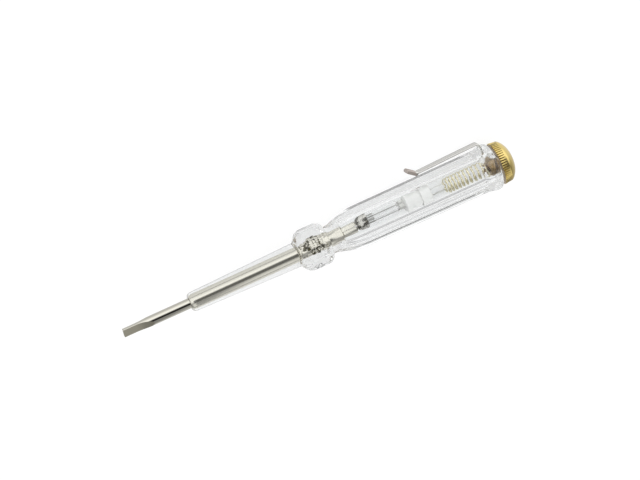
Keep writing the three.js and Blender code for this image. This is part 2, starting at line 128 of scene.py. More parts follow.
class TesterSizes(bpy.types.PropertyGroup):
    """The sizes that the dressed pieces take beside the frame's own."""

    sleeve_front: length("Sleeve front", 6.5, "Diameter of the sleeve at the blade")
    sleeve_nose: length("Sleeve nose", 2.2, "Length of the sleeve's rounded front")
    sleeve_rear: length("Sleeve rear", 8.3, "Diameter of the sleeve at the collar")
    collar_start: length("Collar start", 62.5, "Where the sleeve ends and the collar begins")
    collar_across: length("Collar across flats", 13.6, "Size across the collar's flats")
    collar_round: length("Collar diameter", 14.3, "Diameter of the collar's rounded land")
    waist: length("Waist", 73.2, "Where the handle is thinnest")
    waist_diameter: length("Waist diameter", 9.4, "Diameter of the waist")
    grip_start: length("Grip start", 85.5, "Where the flare has reached the full grip")
    grip_front: length("Grip front", 13.3, "Size across the grip's flats at the front")
    grip_rear: length("Grip rear", 13.8, "Size across the grip's flats at the rim")
    facet_edge: length("Facet edge", 0.4, "Radius along the edges between the flats")
    rim_start: length("Rim start", 128.4, "Where the grip's flats run into the rim")
    rim: length("Rim diameter", 15.95, "Diameter of the rim's crest")
    handle_end: length("End diameter", 11.4, "Diameter of the handle's end face")
    bore_start: length("Bore start", 78.1, "The front wall of the bore")
    bore: length("Bore diameter", 7, "Diameter of the bore")
    blade: length("Blade diameter", 3.4, "Diameter of the blade's rod")
    tip_thickness: length("Tip thickness", 0.9, "Thickness of the ground tip")
    tip_roll: bpy.props.FloatProperty(
        name="Tip roll", description="How far the ground tip is turned about the tool's axis",
        default=math.radians(122), subtype="ANGLE")
    grind: length("Grind length", 10.5, "Length of the ground faces")
    ears_length: length("Ears length", 3.2, "Length of the blade's ears along the tool")
    ears_across: length("Ears across", 4.8, "Size across the blade's ears")
    ears_thickness: length("Ears thickness", 1.3, "Thickness of the blade's ears")
    thin_wall: length("Thin wall", 0.35, "Wall of the lamp's cap and glass and of the resistor's caps")
    nose: length("Lamp cap diameter", 4.8, "Diameter of the lamp's front cap")
    electrode: length("Electrode diameter", 0.7, "Diameter of the lamp's electrodes")
    electrode_length: length("Electrode length", 2.4, "Length of the lamp's electrodes")
    electrode_spacing: length("Electrode spacing", 1.2, "Distance between the electrodes")
    lead: length("Lead diameter", 0.3, "Diameter of the lamp's leads")
    contact: length("Contact diameter", 2, "Diameter of the lamp's rear contact")
    wire: length("Wire diameter", 0.7, "Diameter of the resistor's wire")
    spring_wire: length("Spring wire", 0.5, "Diameter of the spring's wire")
    spring_front: length("Spring front", 5.5, "Outer diameter of the spring behind its first curl")
    spring_rear: length("Spring rear", 5.9, "Outer diameter of the spring at the cap")
    spring_curls: bpy.props.FloatProperty(
        name="Spring curls", description="Number of the spring's curls", default=11.5)
    clamp_share: bpy.props.FloatProperty(
        name="Clamped share", description="Part of the spring over which its curls open out",
        default=0.13, min=0.01, max=1, subtype="FACTOR")
    cap_gap: length("Cap gap", 0.3, "Gap between the handle's end and the cap")
    cap: length("Cap diameter", 14.4, "Diameter of the cap over its ribs")
    cap_disc: length("Cap disc", 3.6, "Diameter of the flat disc at the cap's end")
    ribs: bpy.props.IntProperty(name="Ribs", description="Number of the cap's ribs", default=54, min=8)
    rib_length: length("Rib length", 2.2, "Length of the cap's ribs")
    rib_height: length("Rib height", 0.45, "Depth of the grooves between the ribs")
    rib_draft: length("Rib draft", 0.25, "How much the ribbed rim narrows towards the dome, in radius")
    thread: length("Thread diameter", 6.35, "Diameter over the cap's thread")
    thread_length: length("Thread length", 2.9, "Length of the cap's thread")
    thread_depth: length("Thread depth", 0.35, "Depth of the cap's thread")
    thread_pitch: length("Thread pitch", 1, "Distance between the thread's turns")
    stub_nose: length("Stub nose", 3, "Diameter of the cap's nose")
    clip_width: length("Clip width", 4, "Width of the clip's strip")
    clip_thickness: length("Clip thickness", 0.5, "Thickness of the clip's strip")
    clip_bend: length("Clip bend", 1.1, "Radius of the bend between the clip's arm and its foot")
    clip_front: length("Clip front height", 8.5, "Distance of the arm's front from the axis")
    clip_rear: length("Clip rear height", 9.2, "Distance of the arm's rear from the axis")
    hem_thickness: length("Hem thickness", 1.4, "Thickness of the clip's folded end")
    hem_run: length("Hem run", 2.2, "How far the folded end reaches along the tool")
    hem_rise: length("Hem rise", 1.7, "How far the folded end rises from the arm")


class TesterColours(bpy.types.PropertyGroup):
    """The colours of the dressed pieces and of the paper that they lie on."""

    plastic: colour("Clear plastic", "#fbfcfc", "Colourless moulded plastic")
    shadow: colour("Plastic's shadow", "#f3f3f3", "What the plastic lets through of direct light")
    nickel: colour("Nickel plate", "#d9d6cb", "Nickel plating on the blade")
    ground: colour("Ground steel", "#a5a192", "Ground faces of the blade's tip")
    oxide: colour("Oxide", "#45412e", "Oxide on the blade's keyed stretch")
    tin: colour("Tin", "#c8c6c0", "Tinned pressings")
    stain: colour("Stain", "#66645c", "Grey stains on the lamp's cap")
    matte_tin: colour("Matte tin", "#eeeeea", "Matte tinning on the lamp's contact and the resistor's wire")
    glass: colour("Glass", "#ffffff", "Clear glass of the lamp")
    electrode: colour("Electrode", "#a9a9a4", "Nickel electrodes")
    ceramic: colour("Ceramic", "#fcfcfa", "Lacquered resistor")
    spring: colour("Spring", "#ebe4c6", "Drawn brass spring wire")
    brass: colour("Brass", "#e4cd84", "Turned brass of the cap")
    # Painted shade: the grooves between the cap's ribs get this darker colour to stand for the shade in them
    groove: colour("Painted groove shade", "#8c7238", "Brass at the bottom of the cap's grooves")
    tarnish: colour("Tarnish", "#988260", "Dull brass of the cap's thread and nose")
    clip: colour("Clip", "#f0efea", "Nickel plating on the pocket clip")
    worn: colour("Worn plating", "#c7bdb6", "Plating worn thin at the clip's fold")
    paper: colour("Paper", "#f3f3f3", "White paper under the tool")


# Tools for shaping

def select_only(piece):
    bpy.ops.object.select_all(action="DESELECT")
    piece.select_set(True)
    bpy.context.view_layer.objects.active = piece


def named(name):
    """The primitive that was just added takes its name and has its place put in its mesh."""
    piece = bpy.context.object
    piece.name = name
    piece.data.name = name
    select_only(piece)
    bpy.ops.object.transform_apply(location=True, rotation=True, scale=True)
    return piece


def edit_all():
    bpy.ops.object.mode_set(mode="EDIT")
    bpy.ops.mesh.select_all(action="SELECT")


def closed_up():
    """All faces of the mesh in hand are turned outwards, and edit mode ends."""
    bpy.ops.mesh.select_all(action="SELECT")
    bpy.ops.mesh.normals_make_consistent(inside=False)
    bpy.ops.object.mode_set(mode="OBJECT")


def pick(piece, kind, wanted):
    """In edit mode, selects only the vertices or edges of a piece that are wanted."""
    bpy.ops.mesh.select_mode(type=kind)
    bpy.ops.mesh.select_all(action="DESELECT")
    mesh = bmesh.from_edit_mesh(piece.data)
    for part in mesh.verts if kind == "VERT" else mesh.edges:
        part.select = wanted(part)
    bmesh.update_edit_mesh(piece.data)


def turned(name, outline, sides, roll=0.0, closed=False):
    """A ring is extruded and scaled from station to station along the tool's axis.

    outline is a list of (place along X, radius). A closed one joins its last ring to its first.
    """
    start, radius = outline[0]
    extrude = bpy.ops.mesh.extrude_edges_move if closed else bpy.ops.mesh.extrude_region_move
    bpy.ops.object.select_all(action="DESELECT")
    bpy.ops.mesh.primitive_circle_add(
        vertices=sides, radius=radius, fill_type="NOTHING" if closed else "NGON",
        location=(start, 0, 0), rotation=(0, math.pi / 2, 0))
    piece = named(name)
    edit_all()
    if roll:
        bpy.ops.transform.rotate(value=roll, orient_axis="X", center_override=(start, 0, 0))
    for place, next_radius in outline[1:]:
        extrude(TRANSFORM_OT_translate={"value": (place - start, 0, 0)})
        scale = next_radius / radius
        bpy.ops.transform.resize(value=(1, scale, scale), center_override=(place, 0, 0))
        start, radius = place, next_radius
    if closed:
        bpy.ops.mesh.select_all(action="SELECT")
        bpy.ops.mesh.remove_doubles(threshold=0.001 * MM)
    closed_up()
    return piece


def eight_sided(name, outline, edge):
    """A bar with eight flats from the corner radii in its outline, and with rounded long edges."""
    piece = turned(name, outline, FLATS, HALF_FLAT)
    select_only(piece)
    bpy.ops.object.mode_set(mode="EDIT")
    pick(piece, "EDGE", lies_along)
    bpy.ops.mesh.bevel(offset=edge, segments=3, profile=0.5, affect="EDGES")
    bpy.ops.object.mode_set(mode="OBJECT")
    return piece


def lies_along(edge):
    run = edge.verts[1].co - edge.verts[0].co
    return abs(run.x) > 0.7 * run.length


def drawn_along(line, extrude):
    """Extrudes what is selected from point to point of a line in the XY plane."""
    for before, after in zip(line, line[1:]):
        extrude(TRANSFORM_OT_translate={"value": (after[0] - before[0], after[1] - before[1], 0)})


def block(name, middle, extent):
    bpy.ops.object.select_all(action="DESELECT")
    bpy.ops.mesh.primitive_cube_add(size=1, location=middle)
    bpy.context.object.scale = extent
    return named(name)


def shifted(piece, across):
    """Moves a piece across the tool, in its mesh."""
    select_only(piece)
    bpy.ops.transform.translate(value=(0, across, 0))
    bpy.ops.object.transform_apply(location=True, rotation=False, scale=False)
    return piece


def rolled(piece, angle):
    """Turns a piece about the tool's axis, in its mesh. With no window the operator turns the other way."""
    select_only(piece)
    bpy.ops.transform.rotate(value=-angle, orient_axis="X", center_override=(0, 0, 0))
    bpy.ops.object.transform_apply(location=True, rotation=True, scale=False)
    return piece


def joined(piece, other, operation):
    """Joins a second solid to a piece, or cuts it with that solid, and removes the second one."""
    select_only(piece)
    modifier = piece.modifiers.new(operation.title(), "BOOLEAN")
    modifier.operation = operation
    modifier.solver = "MANIFOLD"
    modifier.object = other
    bpy.ops.object.modifier_apply(modifier=modifier.name)
    mesh = other.data
    bpy.data.objects.remove(other)
    bpy.data.meshes.remove(mesh)
    if not piece.data.polygons:
        raise RuntimeError(f"{piece.name} is empty after {operation}")
    return piece


def bevelled(piece, width):
    """Rounds the sharp edges, and applies this and any modifier that the piece has before it."""
    edges = piece.modifiers.new("Edges", "BEVEL")
    edges.width = width
    edges.segments = 3
    edges.limit_method = "ANGLE"
    edges.angle_limit = math.radians(50)
    select_only(piece)
    for modifier in list(piece.modifiers):
        bpy.ops.object.modifier_apply(modifier=modifier.name)
    return piece


def smooth(piece, degrees=30):
    select_only(piece)
    bpy.ops.object.shade_smooth_by_angle(angle=math.radians(degrees), keep_sharp_edges=True)
    return piece


def weighted(piece):
    """Large faces lead the shading, so that a flat stays flat beside its rounded edges."""
    select_only(piece)
    modifier = piece.modifiers.new("Weighted normals", "WEIGHTED_NORMAL")
    modifier.keep_sharp = True
    bpy.ops.object.modifier_apply(modifier=modifier.name)
    return piece


def dressed(piece, body, nodes, material):
    """A finished piece gets its material, rides on a body if one is given, and stands for its CAD nodes."""
    piece.data.materials.clear()
    piece.data.materials.append(material)
    if body:
        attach(piece, body)
    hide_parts(*nodes)


def weighed(points, weights):
    """The outline point that lies among a few others, as near to each as its weight says."""
    return tuple(sum(weight * point[axis] for weight, point in zip(weights, points)) for axis in (0, 1))


def arc(start, over, end, count=6):
    """Points on a bow from start to end that bulges towards over, without the first one."""
    points = []
    for step in range(1, count + 1):
        share = step / count
        weights = ((1 - share) ** 2, 2 * share * (1 - share), share * share)
        points.append(weighed((start, over, end), weights))
    return points


def bow(start, lead, follow, end, count):
    """Points on an S-shaped curve between two outline points, without the first one."""
    points = []
    for step in range(1, count + 1):
        share = step / count
        weights = ((1 - share) ** 3, 3 * share * (1 - share) ** 2,
                   3 * share * share * (1 - share), share ** 3)
        points.append(weighed((start, lead, follow, end), weights))
    return points


def sizes():
    return bpy.context.scene.tester_sizes


def colours():
    return bpy.context.scene.tester_colours


# Nodes that the materials share

def add_node(tree, kind, settings=None, values=None, links=None):
    """Adds one node: its settings, its input values, and links from (node, output) to its inputs."""
    node = tree.nodes.new(kind)
    for name, value in (settings or {}).items():
        setattr(node, name, value)
    for name, value in (values or {}).items():
        node.inputs[name].default_value = value
    for name, (source, output) in (links or {}).items():
        tree.links.new(source.outputs[output], node.inputs[name])
    return node


def new_material(name, values):
    """A Principled material with its constant values set, and the tree and shader to add to."""
    material = bpy.data.materials.new(name)
    material.use_nodes = True
    tree = material.node_tree
    shader = tree.nodes["Principled BSDF"]
    for socket, value in values.items():
        shader.inputs[socket].default_value = value
    return material, tree, shader


def with_alpha(rgb, factor=1.0):
    return (*(c * factor for c in rgb), 1.0)


def between(tree, start, end):
    """A node that is 1 between two places along the tool, and 0 elsewhere."""
    place = add_node(tree, "ShaderNodeTexCoord")
    parts = add_node(tree, "ShaderNodeSeparateXYZ", links={"Vector": (place, "Object")})
    return add_node(tree, "ShaderNodeMath", {"operation": "COMPARE"},
                    values={1: (start + end) / 2, 2: (end - start) / 2}, links={0: (parts, "X")})


def streaks(tree, run, spacing):
    """Noise for marks left by drawing, rolling or turning: their run along the tool and their spacing."""
    place = add_node(tree, "ShaderNodeTexCoord")
    mapping = add_node(tree, "ShaderNodeMapping", values={"Scale": (1 / run, 1 / spacing, 1 / spacing)},
                       links={"Vector": (place, "Object")})
    return add_node(tree, "ShaderNodeTexNoise", values={"Scale": 1.0, "Detail": 3.0},
                    links={"Vector": (mapping, "Vector")})


def metal(name, rgb, roughness, spread, run, spacing, bump):
    """A metal with fine marks, as long as run along the tool and as far apart as spacing across it.

    The marks change its roughness by spread either way, its colour by a tenth and its relief by bump.
    """
    material, tree, shader = new_material(name, {"Metallic": 1.0, "Base Color": with_alpha(rgb)})
    noise = streaks(tree, run, spacing)
    rough = add_node(tree, "ShaderNodeMapRange",
                     values={"To Min": roughness - spread, "To Max": roughness + spread},
                     links={"Value": (noise, "Fac")})
    tree.links.new(rough.outputs["Result"], shader.inputs["Roughness"])
    tone = add_node(tree, "ShaderNodeMix", {"data_type": "RGBA"},
                    values={"A": with_alpha(rgb, 0.9), "B": with_alpha(rgb)},
                    links={"Factor": (noise, "Fac")})
    tree.links.new(tone.outputs["Result"], shader.inputs["Base Color"])
    relief = add_node(tree, "ShaderNodeBump", values={"Strength": bump, "Distance": 0.01 * MM},
                      links={"Height": (noise, "Fac")})
    tree.links.new(relief.outputs["Normal"], shader.inputs["Normal"])
    return material


def stained(material, rgb, spacing, above, where=None):
    """Oxide in patches of one spacing, rarer where above is higher. A value may keep them in one place."""
    tree = material.node_tree
    shader = tree.nodes["Principled BSDF"]
    place = add_node(tree, "ShaderNodeTexCoord")
    patches = add_node(tree, "ShaderNodeTexNoise", values={"Scale": 1 / spacing, "Detail": 1.0},
                       links={"Vector": (place, "Object")})
    soft = 0.05
    edge = add_node(tree, "ShaderNodeMapRange", values={"From Min": above - soft, "From Max": above + soft},
                    links={"Value": (patches, "Fac")})
    share = (edge, "Result")
    if where:
        kept = add_node(tree, "ShaderNodeMath", {"operation": "MULTIPLY"}, links={0: share, 1: where})
        share = (kept, "Value")
    clean = shader.inputs["Base Color"].links[0].from_socket
    tone = add_node(tree, "ShaderNodeMix", {"data_type": "RGBA"}, values={"B": with_alpha(rgb)},
                    links={"Factor": share})
    tree.links.new(clean, tone.inputs["A"])
    tree.links.new(tone.outputs["Result"], shader.inputs["Base Color"])


def refinished(material, where, rgb, roughness):
    """Another colour and roughness where a value is 1, over what the metal has so far."""
    tree = material.node_tree
    shader = tree.nodes["Principled BSDF"]
    for socket, other, kind in (("Base Color", with_alpha(rgb), "RGBA"), ("Roughness", roughness, "FLOAT")):
        rest = shader.inputs[socket].links[0].from_socket
        mixed = add_node(tree, "ShaderNodeMix", {"data_type": kind}, values={"B": other},
                         links={"Factor": where})
        tree.links.new(rest, mixed.inputs["A"])
        tree.links.new(mixed.outputs["Result"], shader.inputs[socket])


def dull_before(material, end, rgb, roughness):
    """The metal is dull, in another colour, on the side of end that lies towards the tip."""
    before = between(material.node_tree, TIP - OVERRUN, end)
    refinished(material, (before, "Value"), rgb, roughness)


def cut_surface(material, end, radius, rgb, roughness):
    """Another colour and roughness where the metal was cut away, nearer the axis than radius and before end.
    In the cap's grooves the darker colour is painted shade.
    """
    tree = material.node_tree
    place = add_node(tree, "ShaderNodeTexCoord")
    flat = add_node(tree, "ShaderNodeMapping", values={"Scale": (0, 1, 1)},
                    links={"Vector": (place, "Object")})
    reach = add_node(tree, "ShaderNodeVectorMath", {"operation": "LENGTH"}, links={0: (flat, "Vector")})
    deep = add_node(tree, "ShaderNodeMath", {"operation": "LESS_THAN"}, values={1: radius},
                    links={0: (reach, "Value")})
    before = between(tree, TIP - OVERRUN, end)
    both = add_node(tree, "ShaderNodeMath", {"operation": "MULTIPLY"},
                    links={0: (deep, "Value"), 1: (before, "Value")})
    refinished(material, (both, "Value"), rgb, roughness)


# Handle

def clear_acetate(rgb, shadow, size):
    """Clear cellulose acetate, injection moulded: it gives a colourless, glossy block full of refractions."""
    gloss, matt = 0.015, 0.45
    material, tree, shader = new_material("clear moulded acetate", {
        "Base Color": with_alpha(rgb), "Roughness": gloss, "IOR": 1.49, "Transmission Weight": 1.0})
    place = add_node(tree, "ShaderNodeTexCoord")
    # The melt swirled along the mould, in swirls 33 mm long and 2.5 mm apart
    flow = add_node(tree, "ShaderNodeMapping",
                    values={"Scale": (1 / (33 * MM), 1 / (2.5 * MM), 1 / (2.5 * MM))},
                    links={"Vector": (place, "Object")})
    swirl = add_node(tree, "ShaderNodeTexNoise", values={"Scale": 1.0, "Detail": 2.0},
                     links={"Vector": (flow, "Vector")})
    relief = add_node(tree, "ShaderNodeBump", values={"Strength": 0.1, "Distance": 0.04 * MM},
                      links={"Height": (swirl, "Fac")})
    # The thick collar and rim sank as they cooled, with sink marks 2.78 mm apart. Real ones are a few
    # hundredths of a millimetre deep, and these are deeper, so that they show
    collar = between(tree, size.collar_start, size.waist)
    rim = between(tree, size.rim_start, HANDLE_END + OVERRUN)
    thick = add_node(tree, "ShaderNodeMath", {"operation": "MAXIMUM"},
                     links={0: (collar, "Value"), 1: (rim, "Value")})
    sinks = add_node(tree, "ShaderNodeTexNoise", values={"Scale": 1 / (2.78 * MM), "Detail": 0.5},
                     links={"Vector": (place, "Object")})
    depth = add_node(tree, "ShaderNodeMath", {"operation": "MULTIPLY"},
                     links={0: (sinks, "Fac"), 1: (thick, "Value")})
    uneven = add_node(tree, "ShaderNodeBump", values={"Strength": 1.0, "Distance": 0.45 * MM},
                      links={"Height": (depth, "Value"), "Normal": (relief, "Normal")})
    tree.links.new(uneven.outputs["Normal"], shader.inputs["Normal"])
    # The sprue was cut from the end face, which is left matt
    skin = 0.02 * MM
    end_face = between(tree, HANDLE_END - skin, HANDLE_END + OVERRUN)
    finish = add_node(tree, "ShaderNodeMix", {"data_type": "FLOAT"}, values={"A": gloss, "B": matt},
                      links={"Factor": (end_face, "Value")})
    tree.links.new(finish.outputs["Result"], shader.inputs["Roughness"])
    # Direct light reaches the pieces inside through the plastic
    rays = add_node(tree, "ShaderNodeLightPath")
    open_way = add_node(tree, "ShaderNodeBsdfTransparent", values={"Color": with_alpha(shadow)})
    mixed = add_node(tree, "ShaderNodeMixShader", links={
        0: (rays, "Is Shadow Ray"), 1: (shader, "BSDF"), 2: (open_way, "BSDF")})
    tree.links.new(mixed.outputs["Shader"], tree.nodes["Material Output"].inputs["Surface"])
    return material


def handle_sleeve(size):
    """The tapered sleeve with its rounded front, and the round core that it leads into."""
    front, rear, waist = size.sleeve_front / 2, size.sleeve_rear / 2, size.waist_diameter / 2
    mouth = size.blade / 2 + 0.1 * MM
    into_collar = 5 * MM
    into_grip = 2.4 * MM
    outline = [(SLEEVE_START, mouth)]
    outline += arc(outline[0], (SLEEVE_START, front), (SLEEVE_START + size.sleeve_nose, front), 10)
    outline += [(size.collar_start, rear), (size.collar_start + into_collar, rear),
                (size.waist, waist), (size.waist + into_grip, waist)]
    return turned("handle", outline, sides=128)


def handle_collar(size):
    """Eight flats, turned down at both ends of a round land."""
    start, end = size.collar_start, size.waist
    run = end - start
    root, land = size.waist_diameter / 2, size.collar_round / 2
    rounding = 0.3 * MM
    outline = [(start, root)]
    outline += arc(outline[0], (start + 0.12 * run, land), (start + 0.34 * run, land))
    outline += [(start + 0.72 * run, land)]
    outline += arc(outline[-1], (end - rounding, land), (end, root), 10)
    body = turned("collar", outline, sides=128)
    corner = size.collar_across / 2 * CORNER
    flats = eight_sided("collar_flats", [(start - OVERRUN, corner), (end + OVERRUN, corner)], size.facet_edge)
    return joined(body, flats, "INTERSECT")


def flare(size, start, end):
    """The outline from the waist to the grip, between two radii."""
    run = size.grip_start - size.waist
    return [(size.waist, start)] + bow(
        (size.waist, start), (size.waist + 0.27 * run, start),
        (size.waist + 0.6 * run, end), (size.grip_start, end), 24)


def handle_grip(size):
    """The round waist flares out into eight flats, which run on under the rim."""
    waist = size.waist_diameter / 2
    front, rear = size.grip_front / 2 * CORNER, size.grip_rear / 2 * CORNER
    past_corner = 0.3 * MM
    under_rim = 3 * MM
    flats = flare(size, waist * CORNER, front) + [(size.rim_start + under_rim, rear)]
    grip = eight_sided("grip", flats, size.facet_edge)
    outline = flare(size, waist, front + past_corner) + [(HANDLE_END, rear + OVERRUN)]
    return joined(grip, turned("grip_round", outline, sides=128), "INTERSECT")


def handle_rim(size):
    """The rim swells from inside the flats to its crest and rounds over to the end face."""
    sunk, rounding = 0.3 * MM, 0.3 * MM
    root, crest = size.grip_rear / 2 - sunk, size.rim / 2
    run = HANDLE_END - size.rim_start
    foot = size.rim_start - run / 3
    top = size.rim_start + 0.6 * run
    outline = [(foot, root)]
    outline += bow(outline[0], (size.rim_start, root + sunk), (top - run / 4, crest), (top, crest), 20)
    outline += arc(outline[-1], (HANDLE_END - rounding, crest), (HANDLE_END, size.handle_end / 2), 12)
    return turned("rim", outline, sides=128)


def handle_bore(size):
    radius = size.bore / 2
    chamfer = 0.3 * MM
    return turned("bore", [
        (size.bore_start, radius - chamfer), (size.bore_start + chamfer, radius),
        (HANDLE_END + OVERRUN, radius)], sides=96)


def clip_slot(size):
    """The slot in the handle that the clip's foot is pressed into."""
    low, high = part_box("clip_foot")
    gap = 0.1 * MM
    top, bottom = size.rim / 2 + OVERRUN, low.y - gap
    middle = (low + high) / 2
    return block("slot", (middle.x, (top + bottom) / 2, middle.z),
                 (high.x - low.x + 2 * gap, top - bottom, high.z - low.z + 2 * gap))


def make_handle():
    size, shade = sizes(), colours()
    piece = handle_sleeve(size)
    for added in (handle_collar, handle_grip, handle_rim):
        joined(piece, added(size), "UNION")
    for removed in (handle_bore, clip_slot):
        joined(piece, removed(size), "DIFFERENCE")
    weighted(smooth(piece))
    dressed(piece, "handle", ["handle"], clear_acetate(shade.plastic, shade.shadow, size))


# Blade

def ears_middle(size):
    """The blade's ears sit halfway along the collar, where the moulding is thickest."""
    return (size.collar_start + size.waist) / 2


def nickel_rod(shade, size):
    """Steel rod, drawn and nickel plated: it gives a bright, slightly warm mirror with long fine lines.

    Its tip is ground bare and grey. Beside the ears it is keyed for the moulding, rough and oxidised.
    """
    # Drawing leaves lines about 0.02 mm apart. They are 0.11 mm apart here, so that they show
    material = metal("nickel plated steel, drawn rod", shade.nickel, roughness=0.095, spread=0.03,
                     run=16.7 * MM, spacing=0.11 * MM, bump=0.15)
    tree = material.node_tree
    shader = tree.nodes["Principled BSDF"]
    lines = shader.inputs["Normal"].links[0].from_node
    place = add_node(tree, "ShaderNodeTexCoord")
    keyed = between(tree, ears_middle(size) - size.ears_length, ears_middle(size) + size.ears_length)
    # The keying's teeth are 0.667 mm apart
    teeth = add_node(tree, "ShaderNodeTexNoise", values={"Scale": 1 / (0.667 * MM), "Detail": 2.0},
                     links={"Vector": (place, "Object")})
    depth = add_node(tree, "ShaderNodeMath", {"operation": "MULTIPLY"},
                     links={0: (teeth, "Fac"), 1: (keyed, "Value")})
    rough = add_node(tree, "ShaderNodeBump", values={"Strength": 0.8, "Distance": 0.12 * MM},
                     links={"Height": (depth, "Value"), "Normal": (lines, "Normal")})
    tree.links.new(rough.outputs["Normal"], shader.inputs["Normal"])
    stained(material, shade.oxide, spacing=0.625 * MM, above=0.54, where=(keyed, "Value"))
    under_plating = size.blade / 2 - 0.03 * MM
    cut_surface(material, TIP + size.grind, under_plating, shade.ground, roughness=0.42)
    return material


def grinder(size):
    """The block that a ground face is cut with: its lower side follows the land and the ramp of the face."""
    radius, half = size.blade / 2, size.tip_thickness / 2
    rise = 0.5 * MM
    land = TIP + 0.42 * size.grind
    face = [(TIP - OVERRUN, half), (TIP, half), (land, half)]
    face += arc(face[-1], (land + 0.28 * size.grind, half), (TIP + size.grind, radius), 5)
    face += [(TIP + size.grind + 2 * OVERRUN, radius + rise)]
    width = 3 * radius
    bpy.ops.object.select_all(action="DESELECT")
    bpy.ops.mesh.primitive_plane_add(size=width, location=(face[0][0], face[0][1] + width / 2, 0),
                                     rotation=(0, math.pi / 2, 0))
    piece = named("grinder")
    edit_all()
    drawn_along(face, bpy.ops.mesh.extrude_region_move)
    closed_up()
    return piece


def blade_ears(size):
    edge = 0.4 * MM
    ears = block("ears", (ears_middle(size), 0, 0),
                 (size.ears_length, size.ears_across, size.ears_thickness))
    return rolled(bevelled(ears, edge), size.tip_roll)


def make_blade():
    size = sizes()
    radius = size.blade / 2
    front, rear = 0.1 * MM, 0.3 * MM
    piece = turned("blade", [
        (TIP, radius - front), (TIP + front, radius), (BLADE_END - rear, radius),
        (BLADE_END, radius - rear)], sides=64)
    for side in (0, math.pi):
        joined(piece, rolled(grinder(size), size.tip_roll + side), "DIFFERENCE")
    joined(piece, blade_ears(size), "UNION")
    smooth(piece)
    dressed(piece, "handle", ["blade"], nickel_rod(colours(), size))


# Lamp

def tinned_pressing(shade):
    """Brass sheet, pressed and tinned: a soft grey mirror, stained dark in patches 1.54 mm apart."""
    material = metal("tinned brass pressing", shade.tin, roughness=0.24, spread=0.05,
                     run=1.1 * MM, spacing=1.1 * MM, bump=0.1)
    stained(material, shade.stain, spacing=1.54 * MM, above=0.53)
    return material


def matte_tin(name, shade):
    """Tin as it set on a small part: pale and dull, with a mottle 1.1 mm wide."""
    return metal(name, shade.matte_tin, roughness=0.5, spread=0.08,
                 run=1.1 * MM, spacing=1.1 * MM, bump=0.1)


def nickel_electrode(shade):
    """Nickel rod with a sputtered skin: grey and half dull, with grains 0.5 mm wide.

    The real grains are far finer. They are drawn coarse enough to show.
    """
    return metal("sputtered nickel electrode", shade.electrode, roughness=0.35, spread=0.08,
                 run=0.5 * MM, spacing=0.5 * MM, bump=0.2)


def lamp_glass(shade):
    """Soda glass, drawn and sealed in the flame: clear and mirror smooth, so that only its edges show."""
    return new_material("clear lamp glass", {
        "Base Color": with_alpha(shade.glass), "Roughness": 0.0, "IOR": 1.5, "Transmission Weight": 1.0})[0]


def lying(piece):
    """The lamp is thinner than the bore and lies against the wall on the clip's side."""
    low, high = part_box("lamp_nose_cap")
    return shifted(piece, (low.y + high.y) / 2)


def make_nose_cap(size, shade):
    """A cup with a rounded front, a rolled groove near its mouth and a flat floor inside."""
    outer, wall = size.nose / 2, size.thin_wall
    tip = 0.3 * outer
    shoulder = NOSE_START + 0.55 * (NOSE_END - NOSE_START)
    groove = shoulder + 0.35 * (NOSE_END - shoulder)
    half_groove, groove_depth = 0.25 * MM, 0.15 * MM
    rounding = 0.5 * MM
    floor = NOSE_START + 1.1 * MM
    outline = [(NOSE_START, tip)]
    outline += arc(outline[0], (NOSE_START + rounding, outer), (shoulder, outer), 10)
    outline += [(groove - half_groove, outer), (groove, outer - groove_depth),
                (groove + half_groove, outer), (NOSE_END, outer), (NOSE_END, outer - wall),
                (shoulder, outer - wall), (floor, 0.72 * (outer - wall)), (floor, 0.1 * outer)]
    cup = lying(smooth(turned("lamp_nose_cap", outline, sides=64)))
    dressed(cup, "handle", ["lamp_nose_cap"], tinned_pressing(shade))


def domed_tube(start, end, radius, mouth):
    """The outline of a tube from the mouth in one domed end to the mouth in the other."""
    dome = radius if end > start else -radius
    outline = [(start, mouth)]
    outline += arc(outline[0], (start, radius), (start + dome, radius), 12)
    outline += [(end - dome, radius)]
    return outline + arc(outline[-1], (end, radius), (end, mouth), 12)


def make_glass(size, shade):
    """A tube with domed ends and an even wall, open only at a small mouth on the axis."""
    low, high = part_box("lamp_glass")
    radius = (high.y - low.y) / 2
    wall, mouth = size.thin_wall, 0.5 * MM
    outer = domed_tube(GLASS_START, GLASS_END, radius, mouth)
    inner = domed_tube(GLASS_END - wall, GLASS_START + wall, radius - wall, mouth)
    glass = lying(smooth(turned("lamp_glass", outer + inner + outer[:1], 96, closed=True)))
    dressed(glass, "handle", ["lamp_glass"], lamp_glass(shade))


def make_electrode(size, name, side, lead_end, rod_end, material):
    """One rod with its domed ends and the thin lead that runs out through the glass."""
    away = 1 if rod_end > lead_end else -1
    radius, lead = size.electrode / 2, size.lead / 2
    foot = rod_end - away * size.electrode_length
    outline = [(lead_end, lead), (foot, lead)]
    outline += arc((foot, lead), (foot, radius), (foot + away * radius / 2, radius), 4)
    outline += [(rod_end - away * radius, radius)]
    outline += arc(outline[-1], (rod_end, radius), (rod_end, 0.3 * radius), 6)
    piece = shifted(turned(name, outline, 32), side * size.electrode_spacing / 2)
    dressed(lying(smooth(piece)), "handle", [name], material)


def make_rear_contact(size, shade):
    """A bead of solder with a flat front and a domed rear."""
    radius, edge = size.contact / 2, 0.1 * MM
    outline = [(CONTACT_START, radius - edge), (CONTACT_START + edge, radius),
               (CONTACT_END - radius / 2, radius)]
    outline += arc(outline[-1], (CONTACT_END, radius), (CONTACT_END, radius / 2))
    bead = lying(smooth(turned("lamp_rear_contact", outline, sides=48)))
    dressed(bead, "handle", ["lamp_rear_contact"], matte_tin("matte tinned contact", shade))


